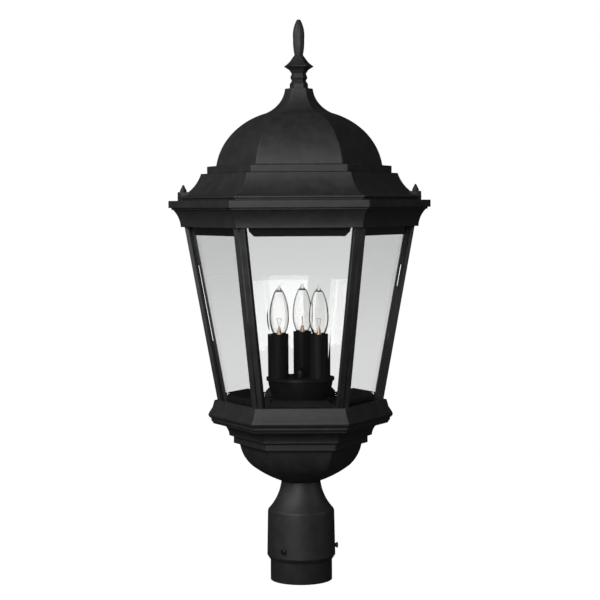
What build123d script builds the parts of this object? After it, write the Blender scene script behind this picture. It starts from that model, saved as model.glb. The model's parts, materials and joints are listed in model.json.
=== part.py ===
from build123d import *

import math
import os

# A six-sided lantern that slips over the end of a round post. Sizes are millimetres. The origin is
# the middle of the collar's mouth, +Z is up, the front flat faces -Y, and two of the six corners lie
# on the X axis. Six-sided pieces are given by the radius of their corners.

# Fits
post_gap = 0.5
slip_gap = 0.05
turn_gap = 0.1
glass_gap = 0.3
drop_gap = 0.5

# Post and collar
post_r = 38.1
socket_depth = 52.0
mouth_edge = 0.8
mouth_bevel = 4.5
collar_foot_wall = 3.6
skirt_rise = 54.0
collar_top_wall = 2.5
shoulder_rise = 2.5
shoulder_wall = 1.6
neck_rise = 34.0
neck_r = 24.3
neck_hollow = 3.0
neck_land = 1.0
post_stop_width = 4.6
post_stop_rise = 5.0
collar_web = 8.0
throat_r = 18.0

# Screws that grip the post
set_screw_count = 3
set_screw_first = 240
set_screw_z = 15.0
set_screw_r = 2.5
set_screw_tip_gap = 0.4
set_screw_stand_off = 1.0
set_screw_head_r = 3.5
set_screw_head_rise = 2.5
set_screw_crown = 0.7
screw_slot_width = 0.9
screw_slot_depth = 1.1

# Pipe that draws the stack together
pipe_r = 4.8
pipe_wall = 1.6
pipe_tail = 3.0
pipe_tongue = 6.0
pipe_nut_r = 9.0
pipe_nut_rise = 5.0
pipe_washer_r = 12.0
pipe_washer_rise = 1.5
cap_nut_r = 6.5
cap_nut_wall_rise = 5.0
cap_nut_dome = 6.0
cap_nut_depth = 7.0

# Bowl: its lip is measured outwards from the band
bowl_wall = 3.0
bowl_foot_r = 26.0
bowl_base_rise = 18.7
bowl_base_r = 60.5
bowl_base_swell = 1.5
bowl_side_rise = 26.8
bowl_side_r = 75.2
bowl_side_swell = 2.35
bowl_ledge_rise = 1.3
bowl_band_r = 82.8
bowl_band_rise = 7.8
bowl_splay_rise = 1.7
bowl_lip_out = 5.5
bowl_lip_rise = 2.1
bowl_cove_rise = 12.6
bowl_cove_run = 7.7
bowl_cove_hollow = 1.05

# Corner bars
bar_foot_r = 101.7
bar_head_r = 140.3
glass_house_rise = 212.7
bar_leg = 9.0
bar_sheet = 3.0
bar_rib_width = 6.0
bar_rib_depth = 14.0
bar_heel_depth = 7.0
bar_screw_r = 1.5
bar_screw_head_r = 2.7
bar_screw_head_rise = 2.0
bar_screw_bite = 10.0
bar_screw_inset = 9.0

# Gallery ring: each width is measured outwards from the lip
lip_margin = 4.5
ring_foot_out = 1.7
ring_foot_rise = 1.0
ring_bead_out = 4.2
ring_bead_splay = 3.0
ring_bead_rise = 2.6
ring_step_out = 5.8
ring_step_rise = 0.9
ring_nose_out = 7.8
ring_nose_rise = 3.5
ring_nose_swell = 0.3
ring_brow_out = 6.6
ring_brow_rise = 3.0
ring_neck_out = 2.6
ring_neck_rise = 6.0
ring_top_rise = 9.0
ring_recess = 5.5
ring_floor = 3.5
ring_flange = 3.0
ring_flange_lap = 8.0
ring_wall = 4.5

# Glass
pane_thickness = 3.0
pane_play = 1.0
bevel_width = 16.0
bevel_drop = 1.6

# Strips that hold the glass
stop_sheet = 1.5
stop_foot = 6.0
lower_stop_rise = 14.0
upper_stop_rise = 15.1
stop_corner = 6.0
stop_screw_r = 1.2
stop_screw_head_r = 1.6
stop_screw_head_rise = 1.1
stop_screw_bite = 2.3
stop_screw_from_end = 18.0

# Cornice ring: each width is measured outwards from the frieze
frieze_wall = 3.5
frieze_rise = 2.3
cavetto_out = 9.0
cavetto_rise = 18.6
cavetto_hollow = 1.5
cornice_bead_out = 11.0
cornice_bead_rise = 2.4
fascia_out = 14.7
fascia_rise = 8.8
bar_head_cover = 5.3
cornice_web = 3.0
cornice_web_width = 27.0
cornice_flange = 3.0
cornice_flange_lap = 5.5
knob_boss_r = 5.0
knob_boss_rise = 11.8

# Knobs that hold the roof down
knob_inset = 18.7
knob_r = 2.5
knob_grip = 12.0
knob_head_r = 4.0
knob_belly_r = 4.3
knob_belly_rise = 1.4
knob_cone_rise = 6.4
knob_tip_r = 1.2
knob_tip_rise = 0.8
knob_point_r = 0.6
lug_r = 7.0
lug_reach = 22.0
lug_rise = 5.7

# Roof: each width is measured inwards from the fascia
roof_wall = 3.0
roof_band_in = 13.7
roof_band_rise = 2.6
brim_in = 11.2
brim_rise = 2.4
cove_foot_in = 17.8
cove_foot_rise = 1.0
cove_top_in = 40.2
cove_rise = 26.7
cove_hollow = 3.0
step_in = 47.6
step_ledge_rise = 0.2
step_rise = 8.5
dome_foot_in = 58.9
dome_ledge_rise = 0.9
dome_rise = 63.8
dome_top_r = 40.5
dome_swell = 12.0
roof_neck_rise = 29.5
roof_neck_r = 17.2
roof_neck_hollow = 4.75
roof_cap = 14.4
spigot_drop = 6.8
spigot_width = 3.0
spigot_corner_gap = 7.0

# Finial
stud_r = 4.0
stud_tail = 3.0
finial_nut_r = 7.6
finial_nut_rise = 4.5
finial_washer_r = 10.0
finial_washer_rise = 1.5
finial_foot_r = 11.3
finial_foot_rise = 5.4
finial_waist_r = 8.7
finial_waist_rise = 3.9
finial_bead_r = 10.6
finial_bead_rise = 3.8
finial_throat_r = 8.9
finial_throat_rise = 5.0
finial_flare_r = 11.9
finial_flare_rise = 4.5
finial_plate_r = 17.9
finial_plate_splay = 3.7
finial_plate_rise = 0.8
finial_cone_r = 9.6
finial_cone_rise = 7.6
finial_cone_hollow = 0.6
finial_collar_r = 7.4
finial_collar_rise = 3.6
finial_pin_r = 5.95
finial_pin_rise = 2.4
spear_r = 7.9
spear_rise = 18.9
spear_swell = 0.6
spear_tip_r = 2.4
spear_tip_rise = 23.7
spear_tip_swell = 1.9

# Cluster that carries the candles
candle_count = 3
candle_circle_r = 28.0
candle_first = 84.4
cluster_base_rise = 7.9
cluster_base_out = 4.0
cluster_base_bevel = 1.2
cup_margin = 9.0
cup_taper = 6.0
cup_rise = 22.2
cup_swell = 0.6
cup_wall = 2.0
cover_lap = 1.7
cover_rise = 3.7
sleeve_r = 11.2
sleeve_wall = 1.0
sleeve_rise = 54.0
stem_r = 4.0
stem_nut_r = 5.2
stem_nut_rise = 3.0
stem_tail = 1.5
stem_stand = 3.7
stem_bite = 3.0
socket_r = 9.0
socket_rise = 46.0
socket_bore_depth = 18.5

# Bulbs
lamp_base_r = 5.9
lamp_base_rise = 20.5
lamp_contact_r = 2.2
lamp_contact_rise = 1.6
lamp_heel_rise = 2.4
bulb_glass_wall = 0.8
bulb_neck_r = 5.4
bulb_neck_rise = 0.6
bulb_foot_r = 7.7
bulb_foot_rise = 2.4
bulb_belly_r = 11.9
bulb_belly_rise = 21.0
bulb_belly_swell = 1.3
bulb_shoulder_r = 5.6
bulb_shoulder_rise = 29.6
bulb_shoulder_swell = 1.5
bulb_nib_r = 1.0
bulb_nib_rise = 7.6
bulb_nib_hollow = 0.7
bulb_tip_rise = 0.6
bulb_tip_r = 0.5
mount_foot_r = 3.4
mount_r = 1.5
mount_rise = 9.0
lead_r = 0.3
lead_rise = 11.0
lead_spread = 3.2
filament_r = 0.35

SIDES = 6
SIDE_TURN = 360 / SIDES
HALF_SIDE_TURN = SIDE_TURN / 2
FRONT_TURN = -90
COS30 = math.cos(math.radians(HALF_SIDE_TURN))
TAN30 = math.tan(math.radians(HALF_SIDE_TURN))


def face_of(outline):
    """Close an outline of (out, up) points into a face; a third value bows the edge that ends there."""
    edges = []
    here = outline[0][:2]
    for step in outline[1:] + outline[:1]:
        there = step[:2]
        bow = step[2] if len(step) == 3 else 0
        edges.append(SagittaArc(here, there, bow) if bow else Line(here, there))
        here = there
    return Face(Wire(edges))


def climb(level, *steps):
    """Outline from the axis and back to it: each step is a rise, a radius and perhaps a bow."""
    points = [(0, level)]
    for rise, out, *bow in steps:
        level += rise
        points.append((out, level, *bow))
    return points + [(0, level)]


def top_of(outline):
    """Height at which an outline comes back to the axis."""
    return outline[-1][1]


def inside(outline, wall, lift):
    """The hollow of a six-sided shell: its outline moved in by the wall, and up or down by lift."""
    return [(max(out - wall / COS30, 0), up + lift, *bow) for out, up, *bow in outline]


def dome_bow(radius, rise):
    """Bow of the arc from a round dome's rim to its top on the axis."""
    ball_r = (radius**2 + rise**2) / (2 * rise)
    half_chord = math.hypot(radius, rise) / 2
    return math.sqrt(ball_r**2 - half_chord**2) - ball_r


def turned(outline):
    """Round solid from an outline of radii and heights."""
    return revolve(Plane.XZ * face_of(outline), Axis.Z)


def six_sided(outline):
    """Six-sided solid from an outline of corner radii and heights."""
    half = face_of([(out * COS30, up, *bow) for out, up, *bow in outline])
    whole = Plane.XZ * (half + mirror(half, about=Plane.YZ))
    reach = 2 * max(point[0] for point in outline)
    slab = extrude(whole, amount=reach, both=True)
    body = Rot(0, 0, HALF_SIDE_TURN) * slab
    for side in range(1, SIDES // 2):
        body &= Rot(0, 0, HALF_SIDE_TURN + side * SIDE_TURN) * slab
    return body


def prism(corner_r, low, high):
    """Upright six-sided prism with corners on the X axis."""
    return Pos(0, 0, low) * extrude(RegularPolygon(corner_r, SIDES), amount=high - low)


def rod(radius, low, high, x=0):
    """Upright round rod."""
    length = high - low
    return Pos(x, 0, low) * Cylinder(radius, length, align=(Align.CENTER, Align.CENTER, Align.MIN))


def nut(corner_r, hole_r, low, rise):
    """Plain hexagon nut."""
    return prism(corner_r, low, low + rise) - rod(hole_r, low, low + rise)


def washer(radius, hole_r, low, rise):
    """Flat round washer."""
    return rod(radius, low, low + rise) - rod(hole_r, low, low + rise)


def small_screw(radius, length, head_r, head_rise):
    """Pan-head screw: its shank hangs from the origin and its head stands on it."""
    return rod(radius, -length, 0) + rod(head_r, 0, head_rise)


def round_z(shape, count, first=0.0):
    """Copies of a shape at even angles about Z."""
    return [Rot(0, 0, first + 360 / count * step) * shape for step in range(count)]


def write(name, *solids):
    """Write one node, which is one solid or a group of separate solids."""
    shape = solids[0] if len(solids) == 1 else Compound(children=list(solids))
    shape.label = name
    export_step(shape, f"parts/{name}.step")


# Outlines of the six-sided castings, and the heights that follow from them
bore_r = post_r + post_gap
pipe_hole_r = pipe_r + slip_gap
skirt_top = mouth_bevel + skirt_rise
shoulder_top = skirt_top + shoulder_rise
neck_top = shoulder_top + neck_rise
collar_top = neck_top + neck_land
web_z = collar_top - collar_web

bowl_lip_r = bowl_band_r + bowl_lip_out
bowl_rim_r = bowl_lip_r + bowl_cove_run
bowl_outline = climb(
    collar_top,
    (0, bowl_foot_r),
    (bowl_base_rise, bowl_base_r, -bowl_base_swell),
    (bowl_side_rise, bowl_side_r, -bowl_side_swell),
    (bowl_ledge_rise, bowl_band_r),
    (bowl_band_rise, bowl_band_r),
    (bowl_splay_rise, bowl_lip_r),
    (bowl_lip_rise, bowl_lip_r),
    (bowl_cove_rise, bowl_rim_r, bowl_cove_hollow),
)
bowl_top = top_of(bowl_outline)

lip_r = bar_foot_r + lip_margin
ring_outline = climb(
    bowl_top,
    (0, lip_r + ring_foot_out),
    (ring_foot_rise, lip_r + ring_foot_out),
    (ring_bead_splay, lip_r + ring_bead_out),
    (ring_bead_rise, lip_r + ring_bead_out),
    (ring_step_rise, lip_r + ring_step_out),
    (ring_nose_rise, lip_r + ring_nose_out, -ring_nose_swell),
    (ring_brow_rise, lip_r + ring_brow_out),
    (ring_neck_rise, lip_r + ring_neck_out),
    (ring_top_rise, lip_r),
)
lip_z = top_of(ring_outline)
floor_z = lip_z - ring_recess

bar_lean = (bar_head_r - bar_foot_r) / glass_house_rise
flat_lean = bar_lean * COS30
slant = math.hypot(1, flat_lean)


def bar_r(level):
    """Radius of the bars' outer corner at a height."""
    return bar_foot_r + bar_lean * (level - lip_z)


def glass_face(level):
    """How far the outside of the glass is from the axis at a height."""
    return bar_r(level) * COS30 - bar_sheet - glass_gap


def strip_face(level):
    """How far the glass strips' outside is from the axis at a height."""
    return glass_face(level) - (pane_thickness + glass_gap) * slant


def half_between_ribs(from_axis):
    """Half the width that is free between two ribs at a distance from the axis."""
    return from_axis * TAN30 - (bar_rib_width / 2 + glass_gap) / COS30


cornice_z = lip_z + glass_house_rise
bar_top = cornice_z + bar_head_cover
frieze_inner_r = bar_r(bar_top) + drop_gap / COS30
frieze_r = frieze_inner_r + frieze_wall / COS30
fascia_r = frieze_r + fascia_out
cornice_outline = climb(
    cornice_z,
    (0, frieze_r),
    (frieze_rise, frieze_r),
    (cavetto_rise, frieze_r + cavetto_out, cavetto_hollow),
    (0, frieze_r + cornice_bead_out),
    (cornice_bead_rise, frieze_r + cornice_bead_out),
    (0, fascia_r),
    (fascia_rise, fascia_r),
)
cornice_top = top_of(cornice_outline)
flange_z = cornice_top - cornice_flange
knob_x = fascia_r - knob_inset
opening_r = knob_x - cornice_flange_lap

roof_outline = climb(
    cornice_top,
    (0, fascia_r - roof_band_in),
    (roof_band_rise, fascia_r - roof_band_in),
    (0, fascia_r - brim_in),
    (brim_rise, fascia_r - brim_in),
    (cove_foot_rise, fascia_r - cove_foot_in),
    (cove_rise, fascia_r - cove_top_in, cove_hollow),
    (step_ledge_rise, fascia_r - step_in),
    (step_rise, fascia_r - step_in),
    (dome_ledge_rise, fascia_r - dome_foot_in),
    (dome_rise, dome_top_r, -dome_swell),
    (roof_neck_rise, roof_neck_r, roof_neck_hollow),
)
roof_top = top_of(roof_outline)
lug_top = cornice_top + roof_band_rise + brim_rise + lug_rise
cove_top = cornice_top + roof_band_rise + brim_rise + cove_foot_rise + cove_rise
brim_top = cove_top + step_ledge_rise

cap_z = roof_top - roof_cap
finial_washer_z = cap_z - finial_washer_rise
finial_nut_z = finial_washer_z - finial_nut_rise
finial_outline = climb(
    roof_top,
    (0, finial_foot_r),
    (finial_foot_rise, finial_foot_r),
    (finial_waist_rise, finial_waist_r),
    (finial_bead_rise, finial_bead_r),
    (finial_throat_rise, finial_throat_r),
    (finial_flare_rise, finial_flare_r),
    (finial_plate_splay, finial_plate_r),
    (finial_plate_rise, finial_plate_r),
    (finial_cone_rise, finial_cone_r, finial_cone_hollow),
    (finial_collar_rise, finial_collar_r),
    (finial_pin_rise, finial_pin_r),
)
spear_outline = climb(
    top_of(finial_outline),
    (0, finial_pin_r),
    (spear_rise, spear_r, -spear_swell),
    (spear_tip_rise, spear_tip_r, -spear_tip_swell),
)

cup_z = floor_z + cluster_base_rise
cup_top = cup_z + cup_rise
cover_top = cup_top + cover_rise
cup_top_r = candle_circle_r + cup_margin
cup_foot_r = cup_top_r - cup_taper
socket_z = cover_top + stem_stand
socket_floor = socket_z + socket_rise - socket_bore_depth
bulb_z = socket_floor + lamp_base_rise


def set_screw_hole():
    """Hole for a set screw through the collar's wall, along +X."""
    reach = bore_r + collar_foot_wall + set_screw_r
    hole = rod(set_screw_r + turn_gap, 0, reach)
    return Pos(0, 0, set_screw_z) * Rot(0, 90, 0) * hole


def post_fitter():
    """Collar over the post, with a stop for the post's end and a web that the pipe hangs on."""
    body = turned([
        (bore_r, 0),
        (bore_r + mouth_edge, 0),
        (bore_r + collar_foot_wall, mouth_bevel),
        (bore_r + collar_top_wall, skirt_top),
        (bore_r + shoulder_wall, shoulder_top),
        (neck_r, neck_top, neck_hollow),
        (neck_r, collar_top),
        (pipe_hole_r, collar_top),
        (pipe_hole_r, web_z),
        (throat_r, web_z),
        (bore_r - post_stop_width, socket_depth + post_stop_rise, -neck_hollow),
        (bore_r - post_stop_width, socket_depth),
        (bore_r, socket_depth),
    ])
    for hole in round_z(set_screw_hole(), set_screw_count, set_screw_first):
        body -= hole
    return body


def set_screw():
    """Slotted round-head screw through the collar's wall, along +X."""
    tip = bore_r + set_screw_tip_gap
    seat = bore_r + collar_foot_wall + set_screw_stand_off
    crown_top = seat + set_screw_head_rise
    crown_z = crown_top - set_screw_crown
    body = turned([
        (0, tip),
        (set_screw_r, tip),
        (set_screw_r, seat),
        (set_screw_head_r, seat),
        (set_screw_head_r, crown_z),
        (0, crown_top, dome_bow(set_screw_head_r, set_screw_crown)),
    ])
    slot = Pos(0, 0, crown_top) * Box(3 * set_screw_head_r, screw_slot_width, 2 * screw_slot_depth)
    return Pos(0, 0, set_screw_z) * Rot(0, 90, 0) * (body - slot)


def lower_bowl():
    """Open six-sided bowl that stands on the collar."""
    hollow = inside(bowl_outline, bowl_wall, bowl_wall)
    return six_sided(bowl_outline) - six_sided(hollow) - rod(pipe_hole_r, collar_top, bowl_top)


def bar_screw_spots(level):
    """Where the screws into the bars' ribs stand at a height."""
    out = bar_r(level) - bar_screw_inset
    return [Rot(0, 0, corner * SIDE_TURN) * Pos(out, 0, level) for corner in range(SIDES)]


def stop_screw_spots(seat):
    """Where the screws through the glass strips stand, two to a strip."""
    out = strip_face(seat) - stop_sheet * slant - stop_foot / 2
    along = half_between_ribs(strip_inner(seat)) - stop_screw_from_end
    return [
        Rot(0, 0, HALF_SIDE_TURN + side * SIDE_TURN) * Pos(out, end * along, seat)
        for side in range(SIDES)
        for end in (-1, 1)
    ]


def strip_inner(seat):
    """How far a glass strip's inner edge is from the axis."""
    return strip_face(seat) - stop_sheet * slant - stop_foot


def gallery_ring():
    """Moulded tray with a floor for the bars, a recess for the glass and a flange on the bowl."""
    slot_r = (glass_face(lip_z) + glass_gap) / COS30
    cavity_r = lip_r - ring_wall
    underside = floor_z - ring_floor
    body = six_sided(ring_outline)
    body -= prism(slot_r, floor_z, lip_z)
    body -= prism(cavity_r, bowl_top + ring_flange, underside)
    body -= prism(bowl_rim_r - ring_flange_lap, bowl_top, underside)
    body -= rod(pipe_hole_r, underside, floor_z)
    for spot in bar_screw_spots(lip_z):
        body -= spot * rod(bar_screw_r + slip_gap, underside - lip_z, 0)
    for spot in stop_screw_spots(floor_z):
        body -= spot * rod(stop_screw_r + slip_gap, -ring_floor, 0)
    return body


def leaning_bar(section, top):
    """Bar of one section from the lip up to a height, leaning outwards along +X."""
    return extrude(
        Pos(0, 0, lip_z) * face_of(section),
        amount=(top - lip_z) * math.hypot(1, bar_lean),
        dir=(bar_lean, 0, 1),
    )


def corner_bar():
    """Bar with a rib down its inside; its face is flat up to the frieze and comes to a corner inside."""
    leg_x = bar_foot_r - bar_leg / 2
    leg_y = bar_leg * COS30
    rib_y = bar_rib_width / 2
    side = [
        (leg_x, leg_y),
        (leg_x - bar_sheet * COS30, leg_y - bar_sheet / 2),
        (bar_foot_r - (bar_sheet + rib_y / 2) / COS30, rib_y),
        (bar_foot_r - bar_rib_depth, rib_y),
    ]
    back = side + [(x, -y) for x, y in reversed(side)]
    flat = [(bar_foot_r, leg_y)] + back + [(bar_foot_r, -leg_y)]
    leaning = leaning_bar(flat, cornice_z - slip_gap) + leaning_bar([(bar_foot_r, 0)] + back, bar_top)
    heel_x = bar_foot_r - bar_rib_depth + bar_heel_depth / 2
    heel = Pos(heel_x, 0, floor_z) * Box(
        bar_heel_depth, bar_rib_width, ring_recess, align=(Align.CENTER, Align.CENTER, Align.MIN)
    )
    foot_x = bar_foot_r - bar_screw_inset
    head_x = bar_r(bar_top) - bar_screw_inset
    body = leaning + heel
    body -= rod(bar_screw_r + slip_gap, floor_z, lip_z + bar_screw_bite, foot_x)
    body -= rod(bar_screw_r + slip_gap, bar_top - bar_screw_bite, bar_top, head_x)
    return body


def bar_foot_screws():
    """Screws up through the floor into the bars."""
    length = ring_floor + ring_recess + bar_screw_bite - turn_gap
    screw = Rot(180, 0, 0) * small_screw(bar_screw_r, length, bar_screw_head_r, bar_screw_head_rise)
    drop = Pos(0, 0, -ring_recess - ring_floor)
    return [spot * drop * screw for spot in bar_screw_spots(lip_z)]


def bar_head_screws():
    """Screws down through the cornice's web into the bars."""
    length = cornice_web + bar_screw_bite - turn_gap
    screw = small_screw(bar_screw_r, length, bar_screw_head_r, bar_screw_head_rise)
    return [spot * Pos(0, 0, cornice_web) * screw for spot in bar_screw_spots(bar_top)]


def glass_pane():
    """Tapered pane that leans outwards across +X, with a wide bevel round its outside."""
    foot_z = floor_z + glass_gap
    head_z = bar_top - pane_play
    length = (head_z - foot_z) * slant
    foot_half = half_between_ribs(glass_face(foot_z) - pane_thickness * slant)
    head_half = half_between_ribs(glass_face(head_z) - pane_thickness * slant)
    leaning = Plane(
        origin=(glass_face(foot_z), 0, foot_z), x_dir=(0, 1, 0), z_dir=(1, 0, -flat_lean)
    )
    sheet = face_of([(-foot_half, 0), (foot_half, 0), (head_half, length), (-head_half, length)])
    front = offset(sheet, amount=-bevel_width, kind=Kind.INTERSECTION).face()
    back = Pos(0, 0, -bevel_drop) * sheet
    slab = loft([front, back]) + extrude(back, amount=bevel_drop - pane_thickness)
    return leaning * slab


def glass_strip(seat, way, rise):
    """Angle strip behind one pane across +X; way is 1 for one that stands and -1 for one that hangs."""
    foot = seat + way * stop_sheet
    edge = seat + way * rise
    sheet = stop_sheet * slant
    inner = strip_inner(seat)
    half = half_between_ribs(inner)
    section = face_of([
        (inner, seat),
        (strip_face(seat), seat),
        (strip_face(edge), edge),
        (strip_face(edge) - sheet, edge),
        (strip_face(foot) - sheet, foot),
        (inner, foot),
    ])
    corner = edge - way * stop_corner
    trimmed = face_of([
        (-half, seat), (half, seat), (half, corner), (half - stop_corner, edge),
        (stop_corner - half, edge), (-half, corner),
    ])
    bar = extrude(Plane.XZ * section, amount=half, both=True)
    return bar & extrude(Plane.YZ * trimmed, amount=2 * strip_face(edge), both=True)


def glass_strips(seat, way, rise):
    """The six strips at one end of the glass, with the holes for their screws."""
    strips = []
    for side, strip in enumerate(round_z(glass_strip(seat, way, rise), SIDES, HALF_SIDE_TURN)):
        for spot in stop_screw_spots(seat)[2 * side:2 * side + 2]:
            strip -= spot * rod(stop_screw_r + slip_gap, -stop_sheet, stop_sheet)
        strips.append(strip)
    return strips


def stop_screws(seat, way):
    """Screws through the glass strips into what they are seated on."""
    length = stop_sheet + stop_screw_bite
    screw = Pos(0, 0, stop_sheet) * small_screw(
        stop_screw_r, length, stop_screw_head_r, stop_screw_head_rise
    )
    flip = Rot(0, 0, 0) if way > 0 else Rot(180, 0, 0)
    return [spot * flip * screw for spot in stop_screw_spots(seat)]


def cornice_ring():
    """Moulded ring that covers the bars' heads and carries the roof on a flange."""
    web_top = bar_top + cornice_web
    web_inner_r = frieze_inner_r - cornice_web_width
    fascia_hollow_z = cornice_top - fascia_rise + frieze_wall
    hollow = climb(
        web_top,
        (0, frieze_inner_r),
        (fascia_hollow_z - frieze_wall - web_top, frieze_inner_r + cavetto_out, cavetto_hollow),
        (frieze_wall, fascia_r - frieze_wall / COS30),
        (flange_z - fascia_hollow_z, fascia_r - frieze_wall / COS30),
    )
    body = six_sided(cornice_outline) - six_sided(hollow)
    body -= prism(frieze_inner_r, cornice_z, bar_top)
    body -= prism(web_inner_r, bar_top, web_top)
    body -= prism(opening_r, flange_z, cornice_top)
    for x in (-knob_x, knob_x):
        body += rod(knob_boss_r, flange_z - knob_boss_rise, flange_z, x)
        body -= rod(knob_r + turn_gap, cornice_top - knob_grip - turn_gap, cornice_top, x)
    for spot in bar_screw_spots(bar_top):
        body -= spot * rod(bar_screw_r + slip_gap, 0, cornice_web)
    for spot in stop_screw_spots(bar_top):
        body -= spot * rod(stop_screw_r + slip_gap, 0, stop_screw_bite + slip_gap)
    return body


def roof_spigot():
    """Rim under the roof that drops into the cornice's opening, left out at the corners."""
    outer_r = opening_r - drop_gap / COS30
    inner_r = outer_r - spigot_width
    rim = prism(outer_r, cornice_top - spigot_drop, cornice_top)
    rim &= rod(outer_r - spigot_corner_gap, cornice_top - spigot_drop, cornice_top)
    return rim, prism(inner_r, cornice_top - spigot_drop, cornice_top + roof_wall)


def roof_shell():
    """Hollow six-sided roof with a lug at each side for a knob, before it is parted."""
    hollow = six_sided(inside(roof_outline, roof_wall, -roof_wall))
    hollow &= rod(fascia_r, cornice_top, cap_z)
    spigot, mouth = roof_spigot()
    body = six_sided(roof_outline)
    for turn in (0, 180):
        lug = rod(lug_r, cornice_top, lug_top, knob_x)
        arm = Pos(knob_x, 0, cornice_top) * Box(
            lug_reach, 2 * lug_r, lug_top - cornice_top, align=(Align.MAX, Align.CENTER, Align.MIN)
        )
        body += Rot(0, 0, turn) * (lug + arm)
    body -= hollow & prism(fascia_r, cornice_top + roof_wall, cap_z)
    body += spigot
    body -= mouth
    for x in (-knob_x, knob_x):
        body += rod(knob_boss_r, cornice_top, lug_top, x)
        body -= rod(knob_r + turn_gap, cornice_top, lug_top, x)
    return body - rod(stud_r + turn_gap, cap_z, roof_top)


def roof_brim_and_dome():
    """The roof's two castings: the coved brim, and the dome that stands on its top."""
    shell = roof_shell()
    return (
        shell & prism(2 * fascia_r, 0, brim_top),
        shell & prism(2 * fascia_r, brim_top, 2 * roof_top),
    )


def knob():
    """Pointed knob on the lug, with a screw down into the cornice."""
    return turned(climb(
        cornice_top - knob_grip,
        (0, knob_r),
        (lug_top - cornice_top + knob_grip, knob_r),
        (0, knob_head_r),
        (knob_belly_rise, knob_belly_r),
        (knob_cone_rise, knob_tip_r),
        (knob_tip_rise, knob_point_r),
    ))


def finial():
    """Six-sided finial with a twelve-sided spear above and a stud through the roof's cap below."""
    spear = six_sided(spear_outline) & (Rot(0, 0, HALF_SIDE_TURN) * six_sided(spear_outline))
    return six_sided(finial_outline) + spear + rod(stud_r, finial_nut_z - stud_tail, roof_top)


def centre_pipe():
    """Threaded pipe from under the collar's web to the nut on the cluster."""
    tail_z = web_z - pipe_washer_rise - pipe_nut_rise - pipe_tail
    head_z = cover_top + pipe_tongue
    pipe = rod(pipe_r, tail_z, head_z) - rod(pipe_r - pipe_wall, tail_z, head_z)
    window = Pos(0, 0, cup_z + cup_rise / 2) * Rot(90, 0, 0) * Cylinder(pipe_wall, 4 * pipe_r)
    return pipe - window


def cap_nut():
    """Domed nut on top of the pipe."""
    wall_top = cover_top + cap_nut_wall_rise
    body = turned([
        (0, cover_top),
        (cap_nut_r, cover_top),
        (cap_nut_r, wall_top),
        (0, wall_top + cap_nut_dome, dome_bow(cap_nut_r, cap_nut_dome)),
    ])
    return body - rod(pipe_hole_r, cover_top, cover_top + cap_nut_depth)


def cluster_base():
    """Disc on the floor under the cup."""
    radius = cup_foot_r + cluster_base_out
    body = turned(climb(
        floor_z,
        (0, radius),
        (cluster_base_rise - cluster_base_bevel, radius),
        (cluster_base_bevel, radius - cluster_base_bevel),
    ))
    return body - rod(pipe_hole_r, floor_z, cup_z)


def cluster_cup():
    """Open cup that hides the wiring."""
    outer = climb(cup_z, (0, cup_foot_r), (cup_rise, cup_top_r, -cup_swell))
    hollow = climb(
        cup_z + cup_wall,
        (0, cup_foot_r - cup_wall),
        (cup_rise - cup_wall, cup_top_r - cup_wall, -cup_swell),
    )
    return turned(outer) - turned(hollow) - rod(pipe_hole_r, cup_z, cup_top)


def candle_spots():
    """The middle of each candle."""
    return [
        Rot(0, 0, candle_first + 360 / candle_count * step) * Pos(candle_circle_r, 0, 0)
        for step in range(candle_count)
    ]


def cluster_cover():
    """Disc that closes the cup and carries the candles."""
    body = rod(cup_top_r + cover_lap, cup_top, cover_top) - rod(pipe_hole_r, cup_top, cover_top)
    for spot in candle_spots():
        body -= spot * rod(stem_r + slip_gap, cup_top, cover_top)
    return body


def candle():
    """Sleeve, socket, stem and stem nut of one candle, in that order, on the Z axis."""
    sleeve = washer(sleeve_r, sleeve_r - sleeve_wall, cover_top, sleeve_rise)
    socket = rod(socket_r, socket_z, socket_z + socket_rise)
    socket -= rod(lamp_base_r + turn_gap, socket_floor, socket_z + socket_rise)
    socket -= rod(stem_r + slip_gap, socket_z, socket_z + stem_bite)
    nut_z = cup_top - stem_nut_rise
    stem = rod(stem_r, nut_z - stem_tail, socket_z + stem_bite)
    stem_nut = nut(stem_nut_r, stem_r + slip_gap, nut_z, stem_nut_rise)
    return sleeve, socket, stem, stem_nut


def bulb_outline(wall, tip_rise):
    """Outline of a bulb's glass, drawn in by a wall for its inside."""
    return climb(
        bulb_z + wall,
        (0, bulb_neck_r - wall),
        (bulb_neck_rise, bulb_neck_r - wall),
        (bulb_foot_rise, bulb_foot_r - wall),
        (bulb_belly_rise - wall, bulb_belly_r - wall, -bulb_belly_swell),
        (bulb_shoulder_rise, bulb_shoulder_r - wall, -bulb_shoulder_swell),
        *tip_rise,
    )


def bulb_glass():
    """Sealed clear envelope with a drawn tip."""
    nib = [(bulb_nib_rise, bulb_nib_r, bulb_nib_hollow), (bulb_tip_rise, bulb_tip_r)]
    return turned(bulb_outline(0, nib)) - turned(bulb_outline(bulb_glass_wall, []))


def bulb_base():
    """Screw base that stands on the socket's floor."""
    return turned(climb(
        socket_floor,
        (0, lamp_contact_r),
        (lamp_contact_rise, lamp_contact_r),
        (lamp_heel_rise, lamp_base_r),
        (lamp_base_rise - lamp_contact_rise - lamp_heel_rise, lamp_base_r),
    ))


def bulb_filament():
    """Glass mount inside the bulb, with two leads that spread to a filament."""
    mount_z = bulb_z + bulb_glass_wall
    mount_top = mount_z + mount_rise
    body = turned(climb(mount_z, (0, mount_foot_r), (mount_rise, mount_r)))
    lead_top = mount_top + lead_rise
    start = (0, 0, mount_top - mount_r)
    for end in (-lead_spread, lead_spread):
        path = Line(start, (end, 0, lead_top))
        section = Plane(origin=start, z_dir=path % 0) * Circle(lead_r)
        body += sweep(section, path)
    bridge = Pos(0, 0, lead_top) * Rot(0, 90, 0) * Cylinder(filament_r, 2 * lead_spread + 2 * lead_r)
    return body + bridge


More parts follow.
